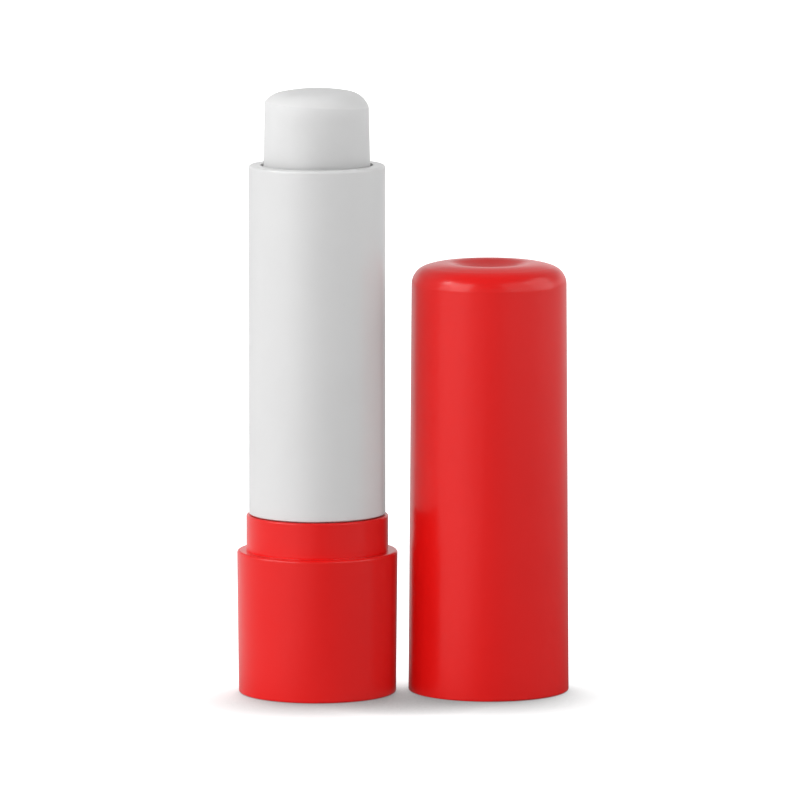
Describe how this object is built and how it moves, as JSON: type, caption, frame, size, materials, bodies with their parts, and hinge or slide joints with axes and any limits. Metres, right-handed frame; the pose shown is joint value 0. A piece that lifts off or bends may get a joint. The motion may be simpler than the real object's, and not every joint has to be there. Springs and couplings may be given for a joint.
{
  "type": "lip balm stick",
  "caption": "Twist-up balm stick: a turning base with a lead screw raises an elevator and its balm inside a grooved tube; the closed-top cap stands beside it.",
  "frame": {"origin": "centre of the base's underside, on the stick's axis", "axes": "+Z along the stick's axis, from the base to the balm; +X towards the side on which the cap stands; -Y towards the camera"},
  "size_m": [0.0406, 0.0211, 0.074],
  "materials": {
    "red_plastic": "satin moulded plastic, bright red",
    "white_plastic": "satin moulded plastic, white",
    "natural_plastic": "matt, slightly clear, uncoloured plastic",
    "balm": "smooth waxy white, faintly clear"
  },
  "bodies": {
    "tube": {"tube": "white_plastic"},
    "base": {"base_shell": "red_plastic", "collar": "red_plastic", "spindle": "natural_plastic"},
    "elevator": {"elevator": "natural_plastic", "balm": "balm"},
    "cap": {"cap": "red_plastic"}
  },
  "joints": [
    {"name": "base_twist", "type": "hinge", "parent": "tube", "child": "base", "pos_m": [0, 0, 0], "axis": [0, 0, 1], "range_deg": [-1187, 3896]},
    {"name": "balm_lift", "type": "slide", "parent": "tube", "child": "elevator", "axis": [0, 0, 1], "range_m": [-0.0099, 0.03248]},
    {"name": "cap_lift", "type": "slide", "parent": "tube", "child": "cap", "axis": [0, 0, 1], "range_m": [0, 0.078]}
  ],
  "couplings": [
    {"joint": "balm_lift", "follows": "base_twist", "m_per_rad": 0.00047746}
  ]
}
